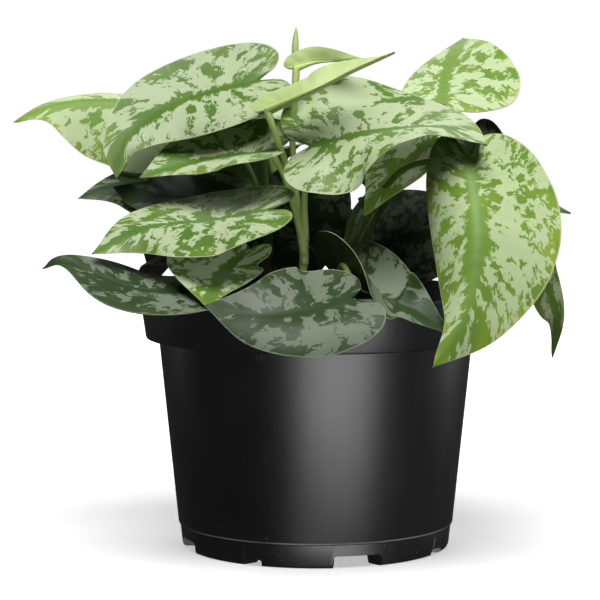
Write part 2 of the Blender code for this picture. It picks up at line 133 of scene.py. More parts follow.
def toneRamp(tree, tone, stops):
    made = addNode(tree, "ShaderNodeValToRGB", {0: tone})
    steps = made.color_ramp.elements
    while len(steps) < len(stops):
        steps.new(0.5)
    for step, (place, colour) in zip(steps, stops):
        step.position, step.color = place, (*colour, 1)
    return made.outputs[0]


def newMaterial(name):
    made = bpy.data.materials.new(name)
    made.use_nodes = True
    return made, made.node_tree, made.node_tree.nodes["Principled BSDF"]


def addBump(tree, shader, height, distance, strength):
    bump = addNode(tree, "ShaderNodeBump", {"Height": height, "Distance": distance, "Strength": strength})
    give(shader, "Normal", bump.outputs[0])


# Leaf finishes: satin silver patches that run out along the side veins, on a green that keeps a
# ragged band along the midrib. Every leaf brings its own tone (age and painted shade), cover and seed.

upperLook = {
    # colours by tone, youngest leaf first: (tone, colour); the dark end is also painted shade deep in the plant
    "green": [
        (0.00, (0.165, 0.305, 0.042)), (0.25, (0.082, 0.178, 0.021)),
        (0.70, (0.026, 0.058, 0.014)), (1.00, (0.008, 0.019, 0.006)),
    ],
    "silver": [
        (0.00, (0.530, 0.655, 0.345)), (0.25, (0.430, 0.520, 0.300)),
        (0.70, (0.180, 0.220, 0.148)), (1.00, (0.055, 0.069, 0.050)),
    ],
    "edge": [
        (0.00, (0.560, 0.660, 0.340)), (0.25, (0.470, 0.530, 0.330)),
        (0.70, (0.300, 0.340, 0.225)), (1.00, (0.080, 0.100, 0.062)),
    ],
    # tints that mottle the green and the silver
    "greenLight": (1.55, 1.28, 1.30, 1), "ribCool": (0.72, 0.82, 1.35, 1), "marginWarm": (1.75, 1.40, 0.90, 1),
    "silverLight": (1.12, 1.08, 1.24, 1), "silverGrain": (0.70, 0.80, 0.60, 1),
    # noise scales, and how far each pattern is drawn out along the side veins
    "wanderScale": 330.0, "wanderBy": (0.0070, 0.0058, 0.0),
    "patchScale": 165.0, "patchStretch": (0.52, 1.0, 1.0), "patchStart": 0.462, "patchEdge": 0.018,
    "fleckScale": 620.0, "fleckStretch": (0.55, 1.0, 1.0), "marginLoss": 0.045,
    "creekScale": 92.0, "creekStretch": (0.42, 1.0, 1.0), "creekWidth": 0.13, "creekEdge": (-0.040, -0.006),
    "bandHalf": 0.0034, "bandFeather": 3.2, "bandBroad": 1.6, "bandLess": 1.45, "bandLeast": 0.10,
    "mottleScale": 75.0, "fineScale": 2600.0, "quiltScale": 420.0,
    "roughness": 0.36, "specular": 0.22, "sheen": 0.015, "sheenRoughness": 0.45,
}


def sideVeins(tree, place):
    return addNode(
        tree, "ShaderNodeTexWave",
        {"Vector": stretched(tree, place, (0.0, 1.0, 0.0)), "Scale": 62.0, "Distortion": 0.6, "Detail": 1.0},
        bands_direction="Y", wave_profile="SIN",
    ).outputs["Fac"]


def makeUpperSkin():
    made, tree, shader = newMaterial("leaf_upper_satin")
    look = upperLook
    place = readAttribute(tree, "veinPlace")
    edge = readAttribute(tree, "leafEdge", "Fac")
    tone, silverShift, band = separate(tree, readAttribute(tree, "leafLook"))
    fromRib = maths(tree, "ABSOLUTE", separate(tree, place)[0])

    # the patches are warped a little so that their outlines wander
    wander = addNode(
        tree, "ShaderNodeTexNoise", {"Vector": place, "Scale": look["wanderScale"], "Detail": 4.0},
    ).outputs["Color"]
    wander = vectorMaths(tree, "SUBTRACT", wander, (0.5, 0.5, 0.5))
    wandering = vectorMaths(tree, "ADD", place, vectorMaths(tree, "MULTIPLY", wander, look["wanderBy"]))

    patch = speckle(tree, wandering, look["patchScale"], 5.0, 0.62, look["patchStretch"])
    fleck = speckle(tree, wandering, look["fleckScale"], 2.5, 0.55, look["fleckStretch"])
    nearEdge = fade(tree, edge, 0.62, 0.98)
    fleckShare = fade(tree, edge, 0.30, 0.92, 0.28, 0.58)
    field = plus(tree, patch, times(tree, minus(tree, fleck, 0.5), fleckShare))
    field = plus(tree, field, silverShift)
    field = minus(tree, field, times(tree, nearEdge, look["marginLoss"]))
    low, high = look["patchStart"] - look["patchEdge"], look["patchStart"] + look["patchEdge"]
    silver = fade(tree, field, low, high)

    # narrow green creeks between the patches, out along the side veins
    creek = addNode(
        tree, "ShaderNodeTexVoronoi",
        {"Vector": stretched(tree, wandering, look["creekStretch"]), "Scale": look["creekScale"]},
        feature="DISTANCE_TO_EDGE",
    ).outputs["Distance"]
    creekHere = speckle(tree, place, 190.0, 3.0, stretch=(0.6, 1, 1))
    creekHere = fade(tree, creekHere, 0.52, 0.66, 0.0, look["creekWidth"])
    silver = times(tree, silver, fade(tree, minus(tree, creek, creekHere), *look["creekEdge"]))

    # the green band along the midrib, feathered along the veins
    feather = speckle(tree, wandering, 420.0, 4.0, 0.65, (0.20, 1.0, 1.0))
    broad = speckle(tree, place, 60.0, 1.0, stretch=(0.30, 1, 1))
    reach = plus(tree, times(tree, feather, look["bandFeather"]), times(tree, broad, look["bandBroad"]))
    reach = maths(tree, "MAXIMUM", minus(tree, reach, look["bandLess"]), look["bandLeast"])
    reach = times(tree, reach, times(tree, band, look["bandHalf"]))
    outside = maths(tree, "DIVIDE", fromRib, reach)
    silver = times(tree, silver, fade(tree, outside, 0.86, 1.14))

    # the colours, mottled at a large and a fine scale
    mottle = speckle(tree, place, look["mottleScale"], 3.0, stretch=(0.5, 1, 1))
    fine = speckle(tree, place, look["fineScale"], 2.0)
    green = toneRamp(tree, tone, look["green"])
    green = tinted(tree, fade(tree, mottle, 0.30, 0.70, 0.0, 0.5), green, look["greenLight"])
    green = tinted(tree, fade(tree, fromRib, 0.0004, 0.0030, 0.20, 0.0), green, look["ribCool"])
    # towards the margin the green turns a little yellow in places
    warm = times(tree, fade(tree, edge, 0.55, 0.97), fade(tree, mottle, 0.42, 0.62, 0.0, 0.7))
    green = tinted(tree, warm, green, look["marginWarm"])
    pale = toneRamp(tree, tone, look["silver"])
    pale = tinted(tree, fade(tree, mottle, 0.35, 0.75, 0.0, 0.5), pale, look["silverLight"])
    pale = tinted(tree, fade(tree, fine, 0.35, 0.70, 0.0, 0.16), pale, look["silverGrain"])
    colour = blendColours(tree, silver, green, pale)
    rim = fade(tree, edge, 0.972, 0.992, 0.0, 0.75)
    colour = blendColours(tree, rim, colour, toneRamp(tree, tone, look["edge"]))
    give(shader, "Base Color", colour)

    rough = plus(tree, times(tree, silver, 0.10), times(tree, fine, 0.10))
    give(shader, "Roughness", plus(tree, rough, look["roughness"]))
    give(shader, "Specular IOR Level", look["specular"])
    give(shader, "Sheen Weight", look["sheen"])
    give(shader, "Sheen Roughness", look["sheenRoughness"])

    # side veins pressed in, the cells between them slightly quilted
    quilt = speckle(tree, place, look["quiltScale"], 2.0, stretch=(0.55, 1, 1))
    relief = plus(tree, times(tree, sideVeins(tree, place), 0.30), times(tree, quilt, 0.5))
    relief = plus(tree, relief, times(tree, fine, 0.10))
    addBump(tree, shader, relief, 0.00035, 0.55)
    return made


underLook = {
    # undersides by tone, youngest first; the dark end is also painted shade for leaves deep in the plant
    "under": [
        (0.00, (0.540, 0.660, 0.275)), (0.25, (0.300, 0.375, 0.165)),
        (0.70, (0.080, 0.118, 0.046)), (1.00, (0.018, 0.030, 0.013)),
    ],
    "veinLight": (1.15, 1.12, 1.08, 1), "cloudShade": (0.80, 0.90, 0.78, 1), "specular": 0.30,
}


def makeUnderSkin():
    made, tree, shader = newMaterial("leaf_under_matte")
    look = underLook
    place = readAttribute(tree, "veinPlace")
    tone = separate(tree, readAttribute(tree, "leafLook"))[0]
    fromRib = maths(tree, "ABSOLUTE", separate(tree, place)[0])
    veins = sideVeins(tree, place)
    cloud = speckle(tree, place, 120.0, 3.0, stretch=(0.45, 1, 1))
    fine = speckle(tree, place, 2200.0, 2.0)
    nearVein = fade(tree, veins, 0.80, 0.98, 0.0, 0.22)
    nearVein = maths(tree, "MAXIMUM", nearVein, fade(tree, fromRib, 0.0006, 0.0018, 0.8, 0.0))
    colour = tinted(tree, nearVein, toneRamp(tree, tone, look["under"]), look["veinLight"])
    colour = tinted(tree, fade(tree, cloud, 0.35, 0.65, 0.0, 0.45), colour, look["cloudShade"])
    give(shader, "Base Color", colour)
    give(shader, "Roughness", fade(tree, fine, 0.3, 0.7, 0.46, 0.60))
    give(shader, "Specular IOR Level", look["specular"])
    addBump(tree, shader, plus(tree, times(tree, veins, 0.5), times(tree, fine, 0.15)), 0.0004, 0.5)
    return made


stalkLook = {
    # stalk colours blended by the leaf's tone: the darker one is partly painted shade, as the leaf tone is
    "youngLit": (0.420, 0.570, 0.170, 1), "old": (0.230, 0.345, 0.100, 1), "sheath": (0.480, 0.580, 0.250, 1),
    "nodeBrown": (0.145, 0.105, 0.045, 1), "ridgeShade": (0.78, 0.86, 0.70, 1),
    "cloudLight": (1.20, 1.12, 1.00, 1), "specular": 0.35,
}


def makeStalkSkin():
    made, tree, shader = newMaterial("stalk_green")
    look = stalkLook
    place = readAttribute(tree, "stalkPlace")
    tone, sheath, brown = separate(tree, readAttribute(tree, "stalkLook"))
    ridges = speckle(tree, place, 900.0, 2.0, stretch=(1.0, 0.03, 1.0))
    cloud = speckle(tree, place, 160.0, 3.0)
    colour = blendColours(tree, tone, look["youngLit"], look["old"])
    colour = blendColours(tree, sheath, colour, look["sheath"])
    colour = tinted(tree, fade(tree, ridges, 0.35, 0.65, 0.0, 0.5), colour, look["ridgeShade"])
    colour = tinted(tree, fade(tree, cloud, 0.40, 0.70, 0.0, 0.4), colour, look["cloudLight"])
    colour = blendColours(tree, brown, colour, look["nodeBrown"])
    give(shader, "Base Color", colour)
    give(shader, "Roughness", fade(tree, cloud, 0.3, 0.7, 0.36, 0.50))
    give(shader, "Specular IOR Level", look["specular"])
    addBump(tree, shader, ridges, 0.0003, 0.5)
    return made


# Shapes

def curveAt(a, b, c, d, t):
    # a place between b and c on the smooth curve through four points
    return 0.5 * (2 * b + (c - a) * t + (2 * a - 5 * b + 4 * c - d) * t * t + (3 * b - a - 3 * c + d) * t ** 3)


def smoothLine(points, count):
    # count + 1 evenly spaced points on a smooth curve through the given ones
    points = [Vector(p) for p in points]
    ends = [2 * points[0] - points[1]] + points + [2 * points[-1] - points[-2]]
    steps = 12
    fine = [
        curveAt(*four, step / steps)
        for four in zip(ends, ends[1:], ends[2:], ends[3:]) for step in range(steps)
    ]
    fine.append(points[-1])
    along = [0.0]
    for a, b in zip(fine, fine[1:]):
        along.append(along[-1] + (b - a).length)
    even, at = [], 0
    for i in range(count + 1):
        want = along[-1] * i / count
        while at < len(fine) - 2 and along[at + 1] < want:
            at += 1
        share = (want - along[at]) / (along[at + 1] - along[at])
        even.append(fine[at].lerp(fine[at + 1], min(share, 1.0)))
    return even


def softStep(value, low, high):
    share = min(max((value - low) / (high - low), 0.0), 1.0)
    return share * share * (3 - 2 * share)


def addObject(bm, name, materials):
    mesh = bpy.data.meshes.new(name)
    bm.to_mesh(mesh)
    bm.free()
    piece = bpy.data.objects.new(name, mesh)
    bpy.context.scene.collection.objects.link(piece)
    for each in materials:
        mesh.materials.append(each)
    return piece


def finishMesh(bm, name, materials, sharpDegrees=50):
    bmesh.ops.scale(bm, vec=(millimetre,) * 3, verts=bm.verts[:])
    bmesh.ops.translate(bm, vec=potAxis, verts=bm.verts[:])
    piece = addObject(bm, name, materials)
    piece.data.shade_smooth()
    piece.data.set_sharp_from_angle(angle=math.radians(sharpDegrees))
    return piece


leafShape = {
    # half the outline from the notch at the stalk to the tip: (share of half width, share of length)
    "outline": [
        (0.00, 0.00), (0.18, -0.10), (0.50, -0.14), (0.81, -0.07), (0.98, 0.09), (0.99, 0.28),
        (0.88, 0.46), (0.68, 0.64), (0.42, 0.80), (0.16, 0.93), (0.00, 1.00),
    ],
    "veinLag": 1.8,        # a side vein leaves the midrib nearer the base than where it ends
    "veinBend": 1.2, "drip": 0.22, "dripFrom": (0.62, 0.90),
    "columns": 40, "rows": 76, "ribSamples": 48,
    "thickness": 0.62, "edgeThickness": 0.32,
    "ribDepth": 0.28, "ribWidth": 1.9, "ribUnder": 0.75, "ribRound": 2.0, "ribFade": 0.6, "ribStart": 1 / 12,
    "quilt": 0.22, "quiltCells": 8.0, "quiltFrom": (1.0, 9.0),
    "ripple": 0.9, "rippleSize": 3.2, "rippleFrom": (0.35, 1.0),
}


def leftAndRight(value):
    return value if isinstance(value, tuple) else (value, value)


class Blade:
    # the bent sheet of one leaf: where a flat place on it lies in space

    def __init__(self, spec):
        self.rib = smoothLine(spec["rib"], leafShape["ribSamples"])
        self.length = sum((b - a).length for a, b in zip(self.rib, self.rib[1:]))
        self.faces, self.drip = Vector(spec["faces"]), spec.get("drip", leafShape["drip"])
        self.halves, self.curl = leftAndRight(spec["halves"]), leftAndRight(spec.get("curl", 0))
        self.fold = leftAndRight(spec.get("fold", 0))
        self.tipFold = spec.get("tipFold", self.fold)

    def ribAt(self, s):
        last = leafShape["ribSamples"]
        share = s / self.length * last
        at = int(max(0, min(last - 1, math.floor(share))))
        a, b = self.rib[at], self.rib[at + 1]
        before, after = self.rib[max(at - 1, 0)], self.rib[min(at + 2, last)]
        part = share - at
        ahead = (b - before).lerp(after - a, min(max(part, 0.0), 1.0)).normalized()
        if s < 0:
            ahead = (b - a).normalized()
        return a + (b - a) * part, ahead

    def place(self, x, s, lift=0.0):
        point, ahead = self.ribAt(s)
        up = (self.faces - ahead * self.faces.dot(ahead)).normalized()
        right = ahead.cross(up)
        side, which = (1, 1) if x >= 0 else (-1, 0)
        share = min(max(s / self.length, 0.0), 1.0)
        fold = math.radians(self.fold[which] + (self.tipFold[which] - self.fold[which]) * share)
        turn = math.radians(self.curl[which]) * abs(x) / self.halves[which]
        mean = fold + turn / 2
        shrink = math.sin(turn / 2) / (turn / 2) if abs(turn) > 1e-6 else 1.0
        rounded = math.sqrt(x * x + leafShape["ribRound"] ** 2) - leafShape["ribRound"]
        out, rise = abs(x) * shrink * math.cos(mean), rounded * shrink * math.sin(mean)
        tilt = fold + turn
        point = point + right * side * (out - lift * math.sin(tilt))
        return point + up * (rise + lift * math.cos(tilt))

    def flat(self, across, along):
        # (x, s) of a place that is across, -1 to 1, and along one side vein, 0 to 1
        shape = leafShape
        outline = shape["outline"]
        share = along * (len(outline) - 1)
        at = min(int(share), len(outline) - 2)
        knots = [Vector(outline[i]) for i in (max(at - 1, 0), at, at + 1, min(at + 2, len(outline) - 1))]
        if at == 0:
            knots[0] = Vector((-outline[1][0], outline[1][1]))
        if at == len(outline) - 2:
            knots[3] = Vector((-outline[-2][0], 2 - outline[-2][1]))
        wide, ahead = curveAt(*knots, share - at)
        start = along ** shape["veinLag"]
        s = start + (ahead - start) * abs(across) ** shape["veinBend"]
        wide *= 1 - self.drip * softStep(along, *shape["dripFrom"])
        return across * max(wide, 0.0) * self.halves[1 if across >= 0 else 0], s * self.length


def makeLeaf(name, spec, skins):
    blade = Blade(spec)
    shape = leafShape
    bm = bmesh.new()
    veinPlace = bm.verts.layers.float_vector.new("veinPlace")
    leafEdge = bm.verts.layers.float.new("leafEdge")
    leafLook = bm.verts.layers.float_vector.new("leafLook")
    bmesh.ops.create_grid(bm, x_segments=shape["columns"], y_segments=shape["rows"], size=1.0)
    # the grid is the underside; a raised copy of it is the upper side
    raised = bmesh.ops.extrude_face_region(bm, geom=bm.faces[:], use_keep_orig=True)
    upper = [v for v in raised["geom"] if isinstance(v, bmesh.types.BMVert)]
    bmesh.ops.translate(bm, vec=(0, 0, 1), verts=upper)
    bmesh.ops.recalc_face_normals(bm, faces=bm.faces[:])
    for face in bm.faces:
        face.material_index = 1 if all(v.co.z < 0.5 for v in face.verts) else 0
        face.smooth = True
    seed, grain = spec["seed"], millimetre * spec.get("grain", 1.0)
    for v in bm.verts:
        across, along, isUpper = v.co.x, (v.co.y + 1) / 2, v.co.z > 0.5
        x, s = blade.flat(across, along)
        inner = 1 - abs(across) ** 3
        rib = math.exp(-(x / shape["ribWidth"]) ** 2) * (1 - along) ** shape["ribFade"]
        rib *= min(along / shape["ribStart"], 1.0)
        cells = math.sin(math.pi * along * shape["quiltCells"]) ** 2
        puff = shape["quilt"] * cells * inner * softStep(abs(x), *shape["quiltFrom"])
        wave = noise.noise(Vector((seed * 3.7, along * shape["rippleSize"], 2.0 if across > 0 else 7.0)))
        wave *= shape["ripple"] * softStep(abs(across), *shape["rippleFrom"])
        lift = puff - shape["ribDepth"] * rib + wave
        if not isUpper:
            lift -= shape["edgeThickness"] + (shape["thickness"] - shape["edgeThickness"]) * inner
            lift -= shape["ribUnder"] * rib
        v[veinPlace] = (x * grain, along * blade.length * grain, seed * 0.137)
        v[leafEdge] = abs(across)
        v[leafLook] = (spec["tone"], spec.get("silver", 0.0), spec.get("band", 1.0))
        v.co = blade.place(x, s, lift)
    bmesh.ops.remove_doubles(bm, verts=bm.verts[:], dist=1e-3)
    piece = finishMesh(bm, name, skins)
    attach(piece, "root")
    return piece


stalkShape = {
    "sides": 16, "rings": 44, "radius": 1.45, "sheathRadius": 2.15, "sheathShare": 0.42, "neckRadius": 1.75,
    # the stalk runs on under the blade as its rib
    "ribRings": 14, "ribShare": 0.55, "ribSink": 0.95, "ribEndRadius": 0.30, "ribTaper": 0.55,
    "stemSides": 20, "stemRings": 60, "stemRadius": 2.3, "stemTipRadius": 1.9, "holeDepth": 30.0,
    "nodeStep": 3.7, "nodeSwell": 0.35, "nodeHalf": 1.1,
    "spearRings": 24, "spearRadius": (0.25, 1.35),
}


def addTube(bm, points, radii, sides, looks):
    # a closed round bar through the points; looks gives tone, sheath and brown for each ring
    placeLayer = bm.verts.layers.float_vector["stalkPlace"]
    lookLayer = bm.verts.layers.float_vector["stalkLook"]
    frames, travelled = [], 0.0
    side = Vector((1, 0, 0))
    for i, point in enumerate(points):
        ahead = (points[min(i + 1, len(points) - 1)] - points[max(i - 1, 0)]).normalized()
        if abs(side.dot(ahead)) > 0.95:
            side = Vector((0, 1, 0))
        side = (side - ahead * side.dot(ahead)).normalized()
        if i:
            travelled += (point - points[i - 1]).length
        frames.append((point, side * radii[i], ahead.cross(side) * radii[i], travelled))
    rings = len(points) - 1
    made = bmesh.ops.create_grid(bm, x_segments=sides, y_segments=rings, size=1.0)["verts"]
    for v in made:
        turn = math.pi * v.co.x
        ring = round((v.co.y + 1) / 2 * rings)
        point, across, over, travelled = frames[ring]
        v[placeLayer] = (0.002 * math.cos(turn), travelled * millimetre, 0.002 * math.sin(turn))
        v[lookLayer] = looks[ring]
        v.co = point + across * math.cos(turn) + over * math.sin(turn)
    bmesh.ops.remove_doubles(bm, verts=made, dist=1e-3)
    edges = {e for v in made if v.is_valid for e in v.link_edges if e.is_boundary}
    bmesh.ops.holes_fill(bm, edges=list(edges), sides=0)


def addStem(bm, stem, nodes):
    shape = stalkShape
    root, *rest = stem
    foot = Vector((*root, soilTop - shape["holeDepth"] + 0.5))
    way = smoothLine([foot, (*root, soilTop), *rest], shape["stemRings"])
    radii, looks = [], []
    for i, point in enumerate(way):
        taper = (shape["stemTipRadius"] - shape["stemRadius"]) * (i / shape["stemRings"])
        near = max(math.exp(-((point.z - z) / shape["nodeHalf"]) ** 2) for z in nodes + [soilTop + 6])
        radii.append(shape["stemRadius"] + taper + shape["nodeSwell"] * near)
        looks.append((0.5, 0.0, 0.55 * near + 0.6 * (1 - softStep(point.z, soilTop - 1, soilTop + 7))))
    addTube(bm, way, radii, shape["stemSides"], looks)


def addStalk(bm, node, spec):
    shape = stalkShape
    blade = Blade(spec)
    # the stalk darkens with its leaf's tone, which is partly painted shade
    tone = 0.25 + 0.7 * spec["tone"]
    # where the blade folds down at the midrib, the rib sinks a little deeper
    deep = 1.0 / math.cos(math.radians(1.3 * max(0.0, -min(blade.fold))))

    def under(share, radius):
        return blade.place(0.0, blade.length * share, -shape["ribSink"] - radius * deep)

    way = smoothLine([node, *spec["stalk"], spec["rib"][0]], shape["rings"])
    shift = under(0.0, shape["neckRadius"]) - way[-1]
    radii, looks = [], []
    for ring, point in enumerate(way):
        share = ring / shape["rings"]
        way[ring] = point + shift * softStep(share, 0.55, 1.0)
        sheath = 1 - softStep(share, 0.0, shape["sheathShare"])
        swell = softStep(share, 0.84, 0.97)
        wider = (shape["sheathRadius"] - shape["radius"]) * sheath * 0.8
        radii.append(shape["radius"] + wider + (shape["neckRadius"] - shape["radius"]) * swell)
        looks.append((tone, 0.55 * sheath + 0.35 * swell, 0.5 * (1 - softStep(share, 0.0, 0.05))))
    for step in range(1, shape["ribRings"] + 1):
        share = step / shape["ribRings"]
        taper = (shape["ribEndRadius"] - shape["neckRadius"]) * share ** shape["ribTaper"]
        radius = shape["neckRadius"] + taper
        way.append(under(shape["ribShare"] * share, radius))
        radii.append(radius)
        looks.append((tone, 0.35, 0.0))
    addTube(bm, way, radii, shape["sides"], looks)


def addSpear(bm, line):
    # the next leaf, still rolled up
    rings, (least, swell) = stalkShape["spearRings"], stalkShape["spearRadius"]
    radii = [
        least + swell * math.sin(math.pi * min(0.12 + 0.86 * ring / rings, 1.0)) ** 0.8
        for ring in range(rings + 1)
    ]
    addTube(bm, smoothLine(line, rings), radii, stalkShape["sides"], [(0.0, 0.9, 0.0)] * (rings + 1))


def makeStems(name, stem, leaves, skin):
    shape = stalkShape
    bm = bmesh.new()
    bm.verts.layers.float_vector.new("stalkPlace")
    bm.verts.layers.float_vector.new("stalkLook")
    top = Vector(stem[-1])
    nodes = [top.z - shape["radius"] - shape["nodeStep"] * i for i in range(len(leaves))]
    addStem(bm, stem, nodes)
    for height, spec in zip(nodes, leaves.values()):
        addStalk(bm, Vector((top.x, top.y, height)), spec)
        if "spear" in spec:
            addSpear(bm, spec["spear"])
    bmesh.ops.recalc_face_normals(bm, faces=bm.faces[:])
    piece = finishMesh(bm, name, [skin])
    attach(piece, "root")
    return piece


# Where each vine's stem stands in the potting mix, and the places it passes
stems = {
    "vine_front_centre": [(-6, -16), (-6, -17, 124), (-5, -19, 146)],
    "vine_left": [(-24, -2), (-24, -2, 124), (-22, -1, 146)],
    "vine_left_low": [(-38, -18), (-38, -18, 118), (-36, -17, 130)],
    "vine_front": [(10, -36), (10, -36, 116), (10, -36, 126)],
    "vine_right": [(14, -12), (14, -12, 124), (14, -12, 140)],
    "vine_back_right": [(34, 12), (34, 12, 122), (34, 12, 138)],
    "vine_back_left": [(-18, 26), (-18, 26, 124), (-17, 26, 146)],
    "vine_back": [(10, 32), (10, 32, 122), (10, 32, 140)],
}
